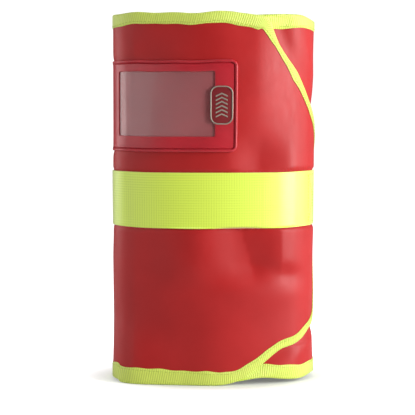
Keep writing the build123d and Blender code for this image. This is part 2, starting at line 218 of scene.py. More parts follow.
def swell(along, z):
    """How far the sheet stands out from the oval: soft dents and ridges round the strap, a
    slack rim, and the inner turn's fullness where the flap doesn't cover it."""
    x, y, _, _ = plan(along)
    front = smooth(-y, -10 * mm, 20 * mm)
    off_strap = np.abs(z - STRAP_MIDDLE)
    # the strap gathers the front: below it one deep dent runs down from the strap and turns
    # towards the right side, and above it there's a shorter, shallower one
    low_bend = 28 * mm + 9 * mm * smooth(-z, -142 * mm, -104 * mm)
    low_line = trough(x, -16 * mm, low_bend, 62 * mm, 2.8, -5.2, 3.0)
    dent = low_line * smooth(z, 84 * mm, 112 * mm) * (1 - smooth(z, STRAP_BOTTOM - 1 * mm, STRAP_BOTTOM + 2 * mm))
    toe = -2.5 * bump(x, 66 * mm, 17 * mm) * bump(z - 0.18 * (60 * mm - x), 101 * mm, 9 * mm)
    brow = 1.6 * bump(x - 0.2 * (z - 90 * mm), 40 * mm, 52 * mm) * bump(z, 84 * mm, 15 * mm)
    high_line = trough(x, 10 * mm, 43 * mm, 70 * mm, 1.6, -2.8, 0.9)
    dimple = high_line * smooth(z, STRAP_TOP - 1 * mm, STRAP_TOP + 3 * mm) * (1 - smooth(z, 206 * mm, 238 * mm))
    pouch = 0.7 * bump(x, -74 * mm, 10 * mm) * bump(z, 305 * mm, 9 * mm)
    # towards the top the front lies flat as far as a ridge near the flap's free edge
    rise = 0.3 * smooth(x, -75 * mm, 40 * mm) + 0.7 * np.clip((x + 75 * mm) / (115 * mm), 0, 1)
    shoulder = 5.5 * rise * (1 - smooth(x, 36 * mm, 84 * mm)) * smooth(z, STRAP_TOP, 290 * mm)
    creases = dent + toe + brow + dimple + pouch + shoulder
    # the sides are full, and the strap sinks into them
    full = (0.3 + 0.7 * (1 - smooth(z, 110 * mm, STRAP_BOTTOM))) * smooth(-x, 50 * mm, 92 * mm)
    banded = 1 - smooth(off_strap, STRAP_HALF - 0.5 * mm, STRAP_HALF + 3.5 * mm)
    sunk = -0.8 + 0.2 * smooth(-x, 50 * mm, 92 * mm) - 1.4 * smooth(x, 60 * mm, 90 * mm)
    # the padding is slack between its edges
    drift = 0.5 * np.sin(x / (31 * mm) + 1.1) * np.sin(z / (47 * mm) + 0.6)
    drift += 0.35 * np.sin(x / (13 * mm) + z / (38 * mm)) * smooth(off_strap, 25 * mm, 60 * mm)
    rim = smooth(np.abs(z - HEIGHT / 2), HEIGHT / 2 - 40 * mm, HEIGHT / 2)
    drift += rim * (0.8 * np.sin(along / (23 * mm)) + 0.4 * np.sin(along / (9 * mm) + 1.0))
    # the rims stand out at the front left, where the sheet turns the corner
    corner = bump(x, -76 * mm, 22 * mm) * smooth(-y, 0, 25 * mm)
    flare = corner * (7.5 * (1 - smooth(z, 0, 70 * mm)) + 4.0 * smooth(z, 285 * mm, HEIGHT))
    # the card pocket's left end lies pressed into the side
    in_pocket = smooth(z, 206 * mm, 216 * mm) * (1 - smooth(z, 292 * mm, 302 * mm))
    pressed = -1.5 * in_pocket * smooth(-x, 70 * mm, 90 * mm)
    # the inner turn fills out beyond the flap's free edge
    inner = along < BACK_START
    on_front = along - RIGHT_START + (FRONT_RADIUS * (pi / 2 - side_angle))
    beyond = smooth(on_front - flap_edge_at(z), 2 * mm, 34 * mm)
    turned = smooth(along, BACK_START - 30 * mm, BACK_START)
    # and it doesn't share the flap's creases there
    shared = 1 - np.where(inner, smooth(on_front - flap_edge_at(z), -6 * mm, 16 * mm), 0)
    out = (creases * front * shared + full * (1 - banded) + sunk * banded + drift + flare + pressed) * mm
    return out + np.where(inner, (STEP - BINDING) * beyond * (1 - turned), 0)


def lift(along, z):
    """How far the rims rise and fall."""
    on_front = along - FRONT_MIDDLE
    top = smooth(z, HEIGHT - 90 * mm, HEIGHT)
    foot = 1 - smooth(z, 0, 60 * mm)
    x, y, _, _ = plan(along)
    outer = along > FLAP_SEAM
    wave = 0.7 * np.sin(on_front / (14 * mm)) + 0.5 * np.sin(on_front / (6.1 * mm) + 0.8)
    wave += 1.2 * smooth(-x, 72 * mm, 92 * mm)
    # the inner turn is a little short at the right, and its foot is raised
    inner_front = 1 - smooth(along, BACK_START - 55 * mm, BACK_START)
    right = smooth(x, 78 * mm, 92 * mm)
    inner_slack = 0.8 * np.sin(along / (17 * mm)) - 1.2 - 3.4 * right * inner_front
    slack = inner_slack + (wave - inner_slack) * smooth(along, FLAP_SEAM - 40 * mm, FLAP_SEAM)
    # the outer turn's foot lifts where the tape laps over itself at the left corner
    lapped = 2.2 * smooth(-x, 80.5 * mm, 83 * mm) * smooth(-y, 0, 12 * mm)
    raised = 2.2 * smooth(x, -10 * mm, 30 * mm) + 3.4 * bump(x, 44 * mm, 20 * mm) + 3.0 * right
    raised = np.where(outer, lapped, raised * inner_front)
    across = (1.3 + smooth(np.abs(x), 55 * mm, 95 * mm)) * (1 - top) * (1 - foot)
    return (top * (slack - 1.3) + foot * (raised + 0.35) + across) * mm


def surface(along, z, out):
    """A point of the wrap: distance along the sheet, height, and distance outside its face."""
    along, z, out = np.broadcast_arrays(np.asarray(along, float), z, out)
    x, y, nx, ny = plan(along)
    reach = out + swell(along, z)
    return np.stack([centre_x + x + nx * reach, centre_y + y + ny * reach, z + lift(along, z)], -1)


# ---------------------------------------------------------------- mesh helpers
def volume_of(points, faces):
    """Signed volume of a closed mesh; it's negative where the faces look inwards."""
    points = np.asarray(points) - np.mean(points, axis=0)
    total = 0.0
    by_size = {}
    for face in faces:
        by_size.setdefault(len(face), []).append(face)
    for size, group in by_size.items():
        corners = points[np.array(group)]
        for k in range(1, size - 1):
            total += np.einsum("ij,ij->", corners[:, 0], np.cross(corners[:, k], corners[:, k + 1])) / 6
    return total


def mesh_object(name, points, faces, uv, material):
    faces = [tuple(int(i) for i in f) for f in faces]
    if volume_of(points, faces) < 0:
        faces = [f[::-1] for f in faces]
    mesh = bpy.data.meshes.new(name)
    mesh.from_pydata([tuple(p) for p in points], [], faces)
    mesh.update()
    if uv is not None:
        layer = mesh.uv_layers.new(name="lay")
        corners = np.empty(len(mesh.loops), int)
        mesh.loops.foreach_get("vertex_index", corners)
        layer.data.foreach_set("uv", np.asarray(uv, np.float32)[corners].ravel())
    mesh.materials.append(material)
    mesh.polygons.foreach_set("use_smooth", np.ones(len(mesh.polygons), bool))
    obj = bpy.data.objects.new(name, mesh)
    bpy.context.collection.objects.link(obj)
    return obj


def grid_faces(rows, columns, first=0, wrap_rows=False, wrap_columns=False, flip=False):
    """Quads of a grid of points stored row by row."""
    r = np.arange(rows if wrap_rows else rows - 1)
    c = np.arange(columns if wrap_columns else columns - 1)
    i, j = np.meshgrid(r, c, indexing="ij")
    i2, j2 = (i + 1) % rows, (j + 1) % columns
    quads = np.stack([i * columns + j, i2 * columns + j, i2 * columns + j2, i * columns + j2], -1)
    quads = quads.reshape(-1, 4) + first
    return quads[:, ::-1] if flip else quads


def tube_faces(count, ring):
    """Quads of a closed section carried along a path, with both ends closed."""
    sides = grid_faces(count, ring, wrap_columns=True)
    return [tuple(q) for q in sides] + [tuple(range(ring)), tuple(range((count - 1) * ring, count * ring))[::-1]]


# ---------------------------------------------------------------- materials
def node(tree, kind, **settings):
    made = tree.nodes.new(kind)
    for key, value in settings.items():
        if key in made.inputs:
            made.inputs[key].default_value = value
        else:
            setattr(made, key, value)
    return made


def plug(tree, value, socket):
    """Link a value to a socket, or set it to a constant."""
    if isinstance(value, Value):
        tree.links.new(value.socket, socket)
    else:
        socket.default_value = value


def maths(tree, operation, *values):
    made = node(tree, "ShaderNodeMath", operation=operation)
    for socket, value in zip(made.inputs, values):
        plug(tree, value, socket)
    return Value(tree, made.outputs[0])


class Value:
    """A value in a node tree. Sums and products of values are Math nodes."""

    def __init__(self, tree, socket):
        self.tree, self.socket = tree, socket

    def __add__(self, other):
        return maths(self.tree, "ADD", self, other)

    def __sub__(self, other):
        return maths(self.tree, "SUBTRACT", self, other)

    def __rsub__(self, other):
        return maths(self.tree, "SUBTRACT", other, self)

    def __mul__(self, other):
        return maths(self.tree, "MULTIPLY", self, other)

    def wave(self):
        return maths(self.tree, "SINE", self)

    def ribs(self):
        """Rounded ribs with sharp valleys, one for each half turn of the value."""
        return maths(self.tree, "ABSOLUTE", self.wave())


def grey(level):
    return (level, level, level)


class Paint:
    """A material in the making. Its shader's sockets take constants or values."""

    def __init__(self, name, colour, roughness, **sockets):
        self.material = bpy.data.materials.new(name)
        self.material.use_nodes = True
        self.tree = self.material.node_tree
        self.set(Base_Color=(*colour, 1), Roughness=roughness, **sockets)

    def set(self, **sockets):
        shader = self.tree.nodes["Principled BSDF"]
        for socket, value in sockets.items():
            plug(self.tree, value, shader.inputs[socket.replace("_", " ")])

    def made(self, kind, output, vector=None, **settings):
        """The output of a new node, with its vector input linked."""
        new = node(self.tree, kind, **settings)
        if vector is not None:
            plug(self.tree, vector, new.inputs["Vector"])
        return Value(self.tree, new.outputs[output])

    def lay(self):
        """Distance along and across a piece, in metres, from its own map."""
        return self.made("ShaderNodeUVMap", "UV", uv_map="lay")

    def place(self, x=1.0, y=1.0, z=1.0):
        """Where a point is on the object, stretched along each axis."""
        plain_place = self.made("ShaderNodeTexCoord", "Object")
        return plain_place if (x, y, z) == (1, 1, 1) else self.scaled(plain_place, x, y, z)

    def scaled(self, vector, x, y, z=1.0):
        return self.made("ShaderNodeMapping", "Vector", vector, Scale=(x, y, z))

    def split(self):
        """Distance along a piece, and across it."""
        parts = node(self.tree, "ShaderNodeSeparateXYZ")
        plug(self.tree, self.lay(), parts.inputs[0])
        return [Value(self.tree, parts.outputs[axis]) for axis in "XY"]

    def noise(self, scale, detail=3.0, roughness=0.55, at=None):
        at = self.place() if at is None else at
        return self.made("ShaderNodeTexNoise", "Fac", at, Scale=scale, Detail=detail, Roughness=roughness)

    def ramp(self, value, *stops):
        """A colour or grey from a value: stops are (position, colour)."""
        new = node(self.tree, "ShaderNodeValToRGB")
        elements = new.color_ramp.elements
        while len(elements) < len(stops):
            elements.new(0.5)
        for element, (position, colour) in zip(elements, stops):
            element.position = position
            element.color = (*colour, 1)
        plug(self.tree, value, new.inputs["Fac"])
        return Value(self.tree, new.outputs["Color"])

    def bump(self, height, depth, strength=1.0):
        new = node(self.tree, "ShaderNodeBump", Strength=strength, Distance=depth)
        plug(self.tree, height, new.inputs["Height"])
        self.set(Normal=Value(self.tree, new.outputs["Normal"]))

    def weave(self, pitch):
        """Height of a plain weave: ribs over and under in a chequer."""
        u, v = (part * (pi / pitch) for part in self.split())
        over = (u + pi / 2).wave() * (v + pi / 2).wave()
        turn = (maths(self.tree, "SIGN", over) + 1.0) * 0.5
        return u.ribs() * turn + v.ribs() * (1.0 - turn)


RED = (0.445, 0.018, 0.018)
RED_DEEP = (0.385, 0.014, 0.014)
# the second lime is painted shade: the colour of the valleys between the webbing's ribs
LIME = (0.71, 0.89, 0.09)
LIME_SHADED = (0.55, 0.73, 0.05)
# the second dull lime is painted shade: the colour of the valleys between the edge tape's ribs
DULL_LIME = (0.66, 0.79, 0.12)
DULL_LIME_SHADED = (0.46, 0.56, 0.06)


def tarpaulin(name, light, deep, roughness):
    """Coated fabric: a satin skin over a faint weave, a little uneven in colour and gloss."""
    paint = Paint(name, light, roughness, Specular_IOR_Level=0.25)
    scuff = paint.noise(160.0, 5.0, 0.7, at=paint.place(z=0.35))
    paint.set(
        Base_Color=paint.ramp(paint.noise(22.0, 4.0), (0.3, deep), (0.7, light)),
        Roughness=paint.ramp(scuff, (0.3, grey(roughness - 0.05)), (0.75, grey(roughness + 0.09))),
    )
    paint.bump(paint.weave(0.9 * mm) * 0.35 + paint.noise(1500.0, 2.0) * 0.5, 0.05 * mm, 0.7)
    return paint.material


def webbing(name, light, deep, pitch, depth):
    """Woven tape: ribs across and along it, fine dark lines of painted shade between them, stronger in patches."""
    paint = Paint(name, light, 0.36, Sheen_Weight=1.0, Sheen_Roughness=0.38, Specular_IOR_Level=0.7)
    across, along = (
        maths(paint.tree, "POWER", (part * (pi / pitch)).ribs(), 0.5) for part in paint.split()
    )
    which = paint.ramp(paint.noise(24.0, 3.0), (0.4, grey(0.15)), (0.6, grey(0.85)))
    height = across * which + along * (1.0 - which)
    # the colour follows the ribs' height: painted shade in the valleys, with a little random fibre tone
    shade = height * 0.85 + paint.noise(900.0, 2.0) * 0.15
    paint.set(Base_Color=paint.ramp(shade, (0.25, deep), (0.85, light)))
    paint.bump(height, depth, 0.7)
    return paint.material


def grosgrain(name, light, deep):
    """Edge tape with fine ribs across it, painted shade in the valleys between them, and random patches of tone."""
    paint = Paint(
        name, light, 0.46, Sheen_Weight=0.9, Sheen_Roughness=0.4, Sheen_Tint=(0.9, 1.0, 0.6, 1),
        Specular_IOR_Level=0.5,
    )
    along, across = paint.split()
    ribs = ((along + across * 0.2) * (pi / (2.0 * mm))).ribs()
    fibre = paint.noise(1.0, 2.0, at=paint.scaled(paint.lay(), 400.0, 2500.0))
    # the colour follows the ribs: painted shade in their valleys, over random patches of tone
    shade = ribs * 0.6 + paint.noise(70.0, 4.0) * 0.45
    paint.set(Base_Color=paint.ramp(shade, (0.2, deep), (0.7, light)))
    paint.bump(ribs + fibre * 0.3, 0.3 * mm, 0.9)
    return paint.material


def plain(name, colour, roughness, grain, depth, **sockets):
    """A moulded or coated surface with a fine grain and a slightly uneven gloss."""
    paint = Paint(name, colour, roughness, **sockets)
    darker = tuple(0.82 * c for c in colour)
    gloss = (0.3, grey(roughness - 0.06)), (0.7, grey(roughness + 0.08))
    paint.set(
        Base_Color=paint.ramp(paint.noise(45.0, 4.0), (0.3, darker), (0.7, colour)),
        Roughness=paint.ramp(paint.noise(210.0, 4.0), *gloss),
    )
    paint.bump(paint.noise(grain, 3.0), depth * mm, 0.8)
    return paint.material


def clear_film(left, width):
    """A soft clear vinyl window: hazy, and paler where it bends over at its left end, a painted highlight."""
    paint = Paint("clear_film", (0.36, 0.27, 0.275), 0.14, Alpha=0.3)
    share = maths(paint.tree, "DIVIDE", paint.split()[0] - left, width)
    scratch = paint.noise(240.0, 6.0, 0.7, at=paint.place(z=6.0))
    paint.set(
        Base_Color=paint.ramp(
            share + paint.noise(30.0, 3.0) * 0.12,
            # the pale stops at the left end are a painted highlight where the film bends over
            (0.06, (0.84, 0.60, 0.60)), (0.13, (0.86, 0.62, 0.62)),
            (0.22, (0.58, 0.37, 0.375)), (1.0, (0.42, 0.19, 0.195)),
        ),
        Roughness=paint.ramp(scratch, (0.35, grey(0.12)), (0.75, grey(0.2))),
    )
    paint.bump(paint.noise(20.0, 1.0), 0.3 * mm, 0.3)
    return paint.material


RED_COVER = tarpaulin("red_cover", RED, RED_DEEP, 0.42)
GREY_LINING = tarpaulin("grey_lining", (0.10, 0.105, 0.11), (0.07, 0.075, 0.08), 0.5)
FOAM = plain("foam", (0.09, 0.09, 0.10), 0.9, 600.0, 0.3)
LIME_TAPE = grosgrain("lime_binding", DULL_LIME, DULL_LIME_SHADED)
LIME_WEBBING = webbing("lime_webbing", LIME, LIME_SHADED, 2.3 * mm, 0.1 * mm)
LIME_THREAD = plain("lime_thread", (0.52, 0.63, 0.07), 0.55, 1800.0, 0.08)
FRAME_RED = plain("frame_red", (0.50, 0.018, 0.030), 0.36, 1200.0, 0.02)
BADGE_SILVER = plain("badge_silver", (0.36, 0.32, 0.26), 0.42, 1500.0, 0.03, Metallic=0.35)
BADGE_RED = plain("badge_red", (0.20, 0.008, 0.012), 0.45, 1500.0, 0.04)

# ---------------------------------------------------------------- the wrap's layers
SPACING = 3.2 * mm
ROWS = 120
FLAP_CUT = FLAP_SEAM - 36 * mm  # where the flap's pieces begin, behind the left side
TONGUE_CUT = TONGUE_SEAM - 30 * mm  # where the tongue's pieces begin, on the front
FLAP_BEND, TONGUE_BEND = 22 * mm, 13 * mm  # distance from each fold to the points on either side of it
SPANS = {"wrap": (0.0, FLAP_CUT), "flap": (FLAP_CUT, TONGUE_CUT), "tongue": (TONGUE_CUT, SHEET_END)}


def columns_between(first, last):
    """Distances along the sheet, closer together towards the rounded ends."""
    even = np.arange(first, last, SPACING)
    near = np.geomspace(0.2 * mm, 12 * mm, 9)
    ends = [near] if first < SPACING else []
    if last > SHEET_END - SPACING:
        ends.append(last - near)
        even = even[even < last - 14 * mm]
    return np.unique(np.concatenate([even, [first, last], *ends]))


def fold_points(fold, reach):
    """A point of the sheet on each side of a fold."""
    return [tuple(surface(fold + offset, HEIGHT / 2, 0.0)) for offset in (-reach, reach)]


def follow(piece, body):
    """Let a piece of the wrap move with its body; a piece of the flap or the tongue is left where it lies, with its
    placing baked into its points.
    """
    if body == "flap":
        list(fold_points(FLAP_SEAM, FLAP_BEND))
        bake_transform(piece)
    elif body == "tongue":
        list(fold_points(TONGUE_SEAM, TONGUE_BEND))
        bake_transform(piece)
    else:
        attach(piece, body)


def closed_sheet(name, s, z, outside, inside, material, body, own_normals=False):
    """A thin closed sheet over a grid of places on the wrap, between two offsets from its face."""
    rows, columns = s.shape
    count = rows * columns
    points = np.concatenate([surface(s, z, u).reshape(-1, 3) for u in (outside, inside)])
    quads = np.concatenate(
        [grid_faces(rows, columns, flip=True), grid_faces(rows, columns, first=count)]
    )
    rim = rim_loop(rows, columns)
    edge = [(b, a, a + count, b + count) for a, b in zip(rim, np.roll(rim, -1))]
    uv = np.stack([s, z], -1).reshape(-1, 2)
    obj = mesh_object(name, points, list(quads) + edge, np.concatenate([uv, uv]), material)
    if own_normals:
        normals = face_normals(s, z).reshape(-1, 3)
        set_normals(obj, np.concatenate([normals, -normals]), len(quads))
    else:
        set_sharp_edges(obj)
    follow(obj, body)
    return obj


def sheet_piece(name, body, outside, inside, material):
    """One closed layer of the sheet over one body's span, between two offsets."""
    first, last = SPANS[body]
    along = columns_between(max(first, BINDING), min(last, SHEET_END - BINDING))
    foot, top = edge_heights(along)
    t = np.linspace(0, 1, ROWS)[:, None]
    z = foot + BINDING + (top - foot - 2 * BINDING) * t
    s = np.broadcast_to(along, z.shape)
    piece = closed_sheet(name, s, z, outside, inside, material, body, own_normals=True)
    return piece, cut_area(along, z)


def face_normals(s, z):
    """Outward normals of the swollen surface, the same on both sides of a cut."""
    step = 0.5 * mm
    ds = surface(s + step, z, 0) - surface(s - step, z, 0)
    dz = surface(s, z + step, 0) - surface(s, z - step, 0)
    n = np.cross(ds, dz)
    return n / np.linalg.norm(n, axis=-1, keepdims=True)


def rim_loop(rows, columns):
    """Indices round the edge of a grid of points."""
    i = np.arange(rows * columns).reshape(rows, columns)
    return np.concatenate([i[0, :-1], i[:-1, -1], i[-1, :0:-1], i[:0:-1, 0]])


def set_sharp_edges(obj, degrees_apart=35):
    """Smooth faces, with a crease wherever two meet at more than an angle."""
    obj.data.set_sharp_from_angle(angle=radians(degrees_apart))


def set_normals(obj, vertex_normals, shared_faces):
    """Give the first faces the surface's own normals, and the edge faces their flat ones."""
    mesh = obj.data
    corners = np.empty(len(mesh.loops), int)
    mesh.loops.foreach_get("vertex_index", corners)
    normals = vertex_normals[corners]
    for polygon in mesh.polygons[shared_faces:]:
        normals[list(polygon.loop_indices)] = polygon.normal
    mesh.normals_split_custom_set(normals.tolist())


def cut_area(along, z):
    """Flat area of a span of the sheet."""
    tall = z[-1] - z[0]
    return float(np.sum((tall[1:] + tall[:-1]) / 2 * np.diff(along)))


LAYERS = (
    ("cover", 0.0, -COVER, RED_COVER),
    ("padding", -COVER, -COVER - PADDING, FOAM),
    ("lining", -COVER - PADDING, -SHEET, GREY_LINING),
)


def make_layers():
    for body, (first, last) in SPANS.items():
        for layer, outside, inside, material in LAYERS:
            piece, area = sheet_piece(f"{body}_{layer}_sheet", body, outside, inside, material)
            flat = (last - first, HEIGHT)
            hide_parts(f"{body}_{layer}")
            min(area, flat[0] * flat[1])


make_layers()

# ---------------------------------------------------------------- the bound edge
TAPE_LEG = 12.5 * mm
# The folded tape's width on its outer side: distance round the front, and width
UPPER_LEG = np.array(
    [(-108, 13), (-96, 12.6), (-80, 10.8), (-60, 10.2), (0, 10.4), (22, 11.2), (36, 12.4), (46, 14),
     (50, 13.5), (53, 10.5), (56, 7.5), (61, 5), (66, 5), (73, 6), (83, 8), (90, 6.4), (100, 6.6),
     (137, 8.5)]
) * mm
LOWER_LEG = np.array(
    [(-125, 12.8), (-104, 13.5), (-88, 15.2), (-70, 15), (-40, 13.6), (-5, 12.8), (15, 11.5),
     (30, 9.5), (50, 7.6), (110, 7), (137, 8.5)]
) * mm
# The folded tape's section: distance in from the sheet's edge, and distance outside its face
TAPE_SECTION = np.array(
    [(12.5, 0.3), (12.3, 0.56), (9.0, 0.6), (5.0, 0.62), (2.0, 0.6), (0.6, 0.4), (0.0, -0.3), (-0.3, -1.6),
     (0.0, -2.9), (0.6, -3.6), (2.0, -3.8), (5.0, -3.82), (9.0, -3.8), (12.3, -3.76), (12.5, -3.5),
     (12.4, -3.24), (1.0, -3.24), (0.6, -1.6), (1.0, 0.04), (12.4, 0.04)]
) * mm
TAPE_SPACING = 2.0 * mm


def resample(line, spacing):
    """Points of a polyline at even distances, with their distance along it."""
    gaps = np.linalg.norm(np.diff(line, axis=0), axis=1)
    distance = np.concatenate([[0], np.cumsum(gaps)])
    even = np.linspace(0, distance[-1], max(2, int(round(distance[-1] / spacing)) + 1))
    return np.stack([np.interp(even, distance, line[:, k]) for k in (0, 1)], -1), even


def edge_line(first, last, upper):
    """The sheet's upper or lower edge between two distances along it."""
    share = np.concatenate([np.linspace(0, 1, 900), (1 - np.cos(np.linspace(0, pi, 300))) / 2])
    dense = np.unique(first + (last - first) * share)
    foot, top = edge_heights(dense)
    return np.stack([dense, top if upper else foot], -1)


def bound_edges(spacing):
    """The sheet's bound edge in runs for each body, each going round with the sheet on its
    left: points, distance along the edge, and normals towards the sheet."""
    def run(*parts):
        line, distance = resample(np.concatenate(parts), spacing)
        return line, distance, inward(line, int(9 * mm / spacing))

    def cut(whole, first, last):
        return tuple(part[first:last] for part in whole)

    inner = run(edge_line(0, FLAP_CUT, True)[::-1], edge_line(0, FLAP_CUT, False))
    outer = run(edge_line(FLAP_CUT, SHEET_END, False), edge_line(FLAP_CUT, SHEET_END, True)[::-1])
    tip = np.flatnonzero(outer[0][:, 0] > TONGUE_CUT)
    return {
        "wrap": [inner],
        "flap": [cut(outer, 0, tip[0] + 1), cut(outer, tip[-1], None)],
        "tongue": [cut(outer, tip[0], tip[-1] + 1)],
    }


def inward(line, reach):
    """Unit normals of a run, towards the sheet, eased round its corners."""
    t = np.gradient(line, axis=0)
    t /= np.linalg.norm(t, axis=1, keepdims=True)
    padded = np.pad(t, ((reach, reach), (0, 0)), mode="edge")
    t = sum(padded[k : k + len(t)] for k in range(2 * reach + 1))
    t /= np.linalg.norm(t, axis=1, keepdims=True)
    return np.stack([-t[:, 1], t[:, 0]], -1)


def leg_at(line):
    """The tape's width on its outer side, along a run of edge."""
    on_front = line[:, 0] - FRONT_MIDDLE
    upper = np.interp(on_front, *UPPER_LEG.T)
    lower = np.interp(on_front, *LOWER_LEG.T)
    leg = np.where(line[:, 1] > HEIGHT / 2, upper, lower)
    near_inner = smooth(on_front, -135 * mm, -110 * mm)
    x = plan(line[:, 0])[0]
    inner_leg = 13.2 * mm - np.where(line[:, 1] > HEIGHT / 2, 3.5 * mm, 0) * smooth(x, 70 * mm, 90 * mm)
    return leg * near_inner + inner_leg * (1 - near_inner)


def binding_piece(body, runs):
    points, faces, uv = [], [], []
    ring = len(TAPE_SECTION)
    across = np.concatenate([[0], np.cumsum(np.linalg.norm(np.diff(TAPE_SECTION, axis=0), axis=1))])
    base = 0
    for line, distance, normal in runs:
        pucker = 1 + 0.025 * np.sin(distance / (7.5 * mm)) + 0.025 * np.sin(distance / (3.4 * mm) + 1.3)
        pucker *= leg_at(line) / TAPE_LEG
        depth = TAPE_SECTION[None, :, 0]
        depth = np.where(depth > 2 * mm, depth * pucker[:, None], depth)
        s = line[:, :1] + normal[:, :1] * depth
        z = line[:, 1:] + normal[:, 1:] * depth
        out = np.broadcast_to(TAPE_SECTION[None, :, 1], depth.shape)
        points.append(surface(s, z, out).reshape(-1, 3))
        faces += [tuple(i + base for i in f) for f in tube_faces(len(line), ring)]
        uv.append(np.stack(np.broadcast_arrays(distance[:, None], across[None, :]), -1).reshape(-1, 2))
        base += len(line) * ring
    piece = mesh_object(f"{body}_edge_tape", np.concatenate(points), faces, np.concatenate(uv), LIME_TAPE)
    set_sharp_edges(piece, 60)
    follow(piece, body)
    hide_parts(f"{body}_binding")


STITCH, STITCH_GAP = 2.6 * mm, 3.7 * mm
THREAD = 0.22 * mm
SHORTEST_STITCH = 0.4 * mm
BOX_STITCH_GAP = 2.9 * mm
BOX_STITCH_INSET = 3.5 * mm  # from the strap's edges


def stitch_rows(name, body, rows, material=LIME_THREAD, place=surface):
    """Rows of stitches, each a short raised bead: rows are (start, end, height of the face they
    lie on, and 1 or -1 for the way that face looks)."""
    turn = np.linspace(0, 2 * pi, 6, endpoint=False)
    stations = np.array([(-0.5, 0.35), (-0.34, 0.9), (0.34, 0.9), (0.5, 0.35)])
    f, size = stations[:, :1], stations[:, 1:] * THREAD
    wide, high = 1.35 * size * np.cos(turn), size * np.sin(turn)
    points, faces = [], []
    for (a0, b0), (a1, b1), out, away in rows:
        span = np.array([a1 - a0, b1 - b0])
        length = np.linalg.norm(span)
        if length < SHORTEST_STITCH:
            continue
        side = np.array([-span[1], span[0]]) / length
        a = (a0 + a1) / 2 + span[0] * f + side[0] * wide
        b = (b0 + b1) / 2 + span[1] * f + side[1] * wide
        faces += [tuple(i + len(points) * wide.size for i in q) for q in tube_faces(*wide.shape)]
        points.append(place(a, b, out + away * (high + 0.3 * THREAD)).reshape(-1, 3))
    follow(mesh_object(name, np.concatenate(points), faces, None, material), body)


def edge_stitches(body, runs):
    rows = []
    for line, _, normal in runs:
        seam = line + normal * (leg_at(line) - 2.0 * mm)[:, None]
        middle = (seam[1:] + seam[:-1]) / 2
        half = (seam[1:] - seam[:-1]) * (STITCH / STITCH_GAP / 2)
        for m, h in zip(middle, half):
            rows += [(m - h, m + h, BINDING, 1), (m - h, m + h, -SHEET - BINDING, -1)]
    stitch_rows(f"{body}_edge_stitches", body, rows)


for body_name, body_runs in bound_edges(TAPE_SPACING).items():
    binding_piece(body_name, body_runs)
for body_name, body_runs in bound_edges(STITCH_GAP).items():
    edge_stitches(body_name, body_runs)

# ---------------------------------------------------------------- webbing
CLEAR = 0.08 * mm  # under a piece that lies on the cover
YARN = 2.54 * mm  # pitch of the webbing's weave
YARN_HEIGHT = 0.06 * mm


def on_wrap(along, out, width):
    """Where a strap's own section lies: its path goes along the sheet and away from it."""
    return surface(along, width, out)


def ribbon(name, path, low, high, thickness, place, material, yarn=YARN, relief=YARN_HEIGHT):
    """A woven strap: a flat section with soft edges carried along a path, with its yarns
    standing up in a chequer. Path points are in the plane across the strap's width."""
    gaps = np.linalg.norm(np.diff(path, axis=0), axis=1)
    distance = np.concatenate([[0], np.cumsum(gaps)])
    tangent = np.gradient(path, distance, axis=0)
    tangent /= np.linalg.norm(tangent, axis=1, keepdims=True)
    normal = np.stack([-tangent[:, 1], tangent[:, 0]], -1)
    half = thickness / 2
    across = np.linspace(low + 0.9 * half, high - 0.9 * half, int((high - low) / (yarn / 4)) + 1)
    turn = np.linspace(pi / 2, -pi / 2, 7)[1:-1]
    flat, back = np.ones(len(across)), turn[::-1]
    w = np.concatenate(
        [across, high - half + half * np.cos(turn), across[::-1], low + half - half * np.cos(back)]
    )
    h = half * np.concatenate([flat, np.sin(turn), -flat, np.sin(back)])
    raised = np.concatenate([flat, 0 * turn, flat, 0 * turn])
    wave = np.cos(2 * pi * distance / yarn)[:, None] * np.cos(2 * pi * (w - low) / yarn)[None, :]
    height = h[None, :] + np.sign(h)[None, :] * raised[None, :] * relief * (wave - 1) / 2
    width = np.broadcast_to(w, height.shape)
    a = path[:, :1] + normal[:, :1] * height
    b = path[:, 1:] + normal[:, 1:] * height
    points = place(a, b, width).reshape(-1, 3)
    uv = np.stack(np.broadcast_arrays(distance[:, None], w[None, :] - low), -1).reshape(-1, 2)
    piece = mesh_object(name, points, tube_faces(len(path), len(w)), uv, material)
    set_sharp_edges(piece, 60)
    return piece


def strap_path(first, last, out=CLEAR + STRAP / 2, spacing=YARN / 4):
    along = np.linspace(first, last, int((last - first) / spacing) + 1)
    return np.stack([along, np.full(len(along), out)], -1)


def fold_back(path, back, gap):
    """The same path with its far end turned over outwards and laid back on itself."""
    along, out = path[-1]
    turn = np.linspace(-pi / 2, pi / 2, 9)[1:]
    bend = np.stack([along + gap / 2 * np.cos(turn), out + gap / 2 * (1 + np.sin(turn))], -1)
    home = np.linspace(along, along - back, int(back / (YARN / 4)))[1:]
    return np.concatenate([path, bend, np.stack([home, np.full(len(home), out + gap)], -1)])


STRAP_START = along_at(1, radians(28))
STRAP_END = along_at(5, 2 * pi + radians(3))
TAB_START = along_at(5, 2 * pi + radians(4))
TAB_END = along_at(5, 2 * pi + radians(28.5))
TAB_LIFT = 0.8 * mm
TURNED_GAP = 0.12 * mm  # between the grip and its turned end
STRAP_SPANS = {**SPANS, "wrap": (STRAP_START, FLAP_CUT), "tongue": (TONGUE_CUT, STRAP_END)}

for body_name, (begin, end) in STRAP_SPANS.items():
    run = ribbon(
        f"{body_name}_webbing", strap_path(begin, end), STRAP_BOTTOM, STRAP_TOP, STRAP, on_wrap, LIME_WEBBING
    )
    follow(run, body_name)
    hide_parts("strap_base" if body_name == "wrap" else f"{body_name}_strap")

tab_out = TAB_LIFT + STRAP / 2
tab_path = fold_back(strap_path(TAB_START, TAB_END - 0.9 * mm, tab_out), 10 * mm, STRAP + TURNED_GAP)
pull_tab = ribbon("pull_tab_webbing", tab_path, STRAP_BOTTOM, STRAP_TOP, STRAP, on_wrap, LIME_WEBBING)
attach(pull_tab, "pull_tab")
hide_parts("strap_pull_tab")


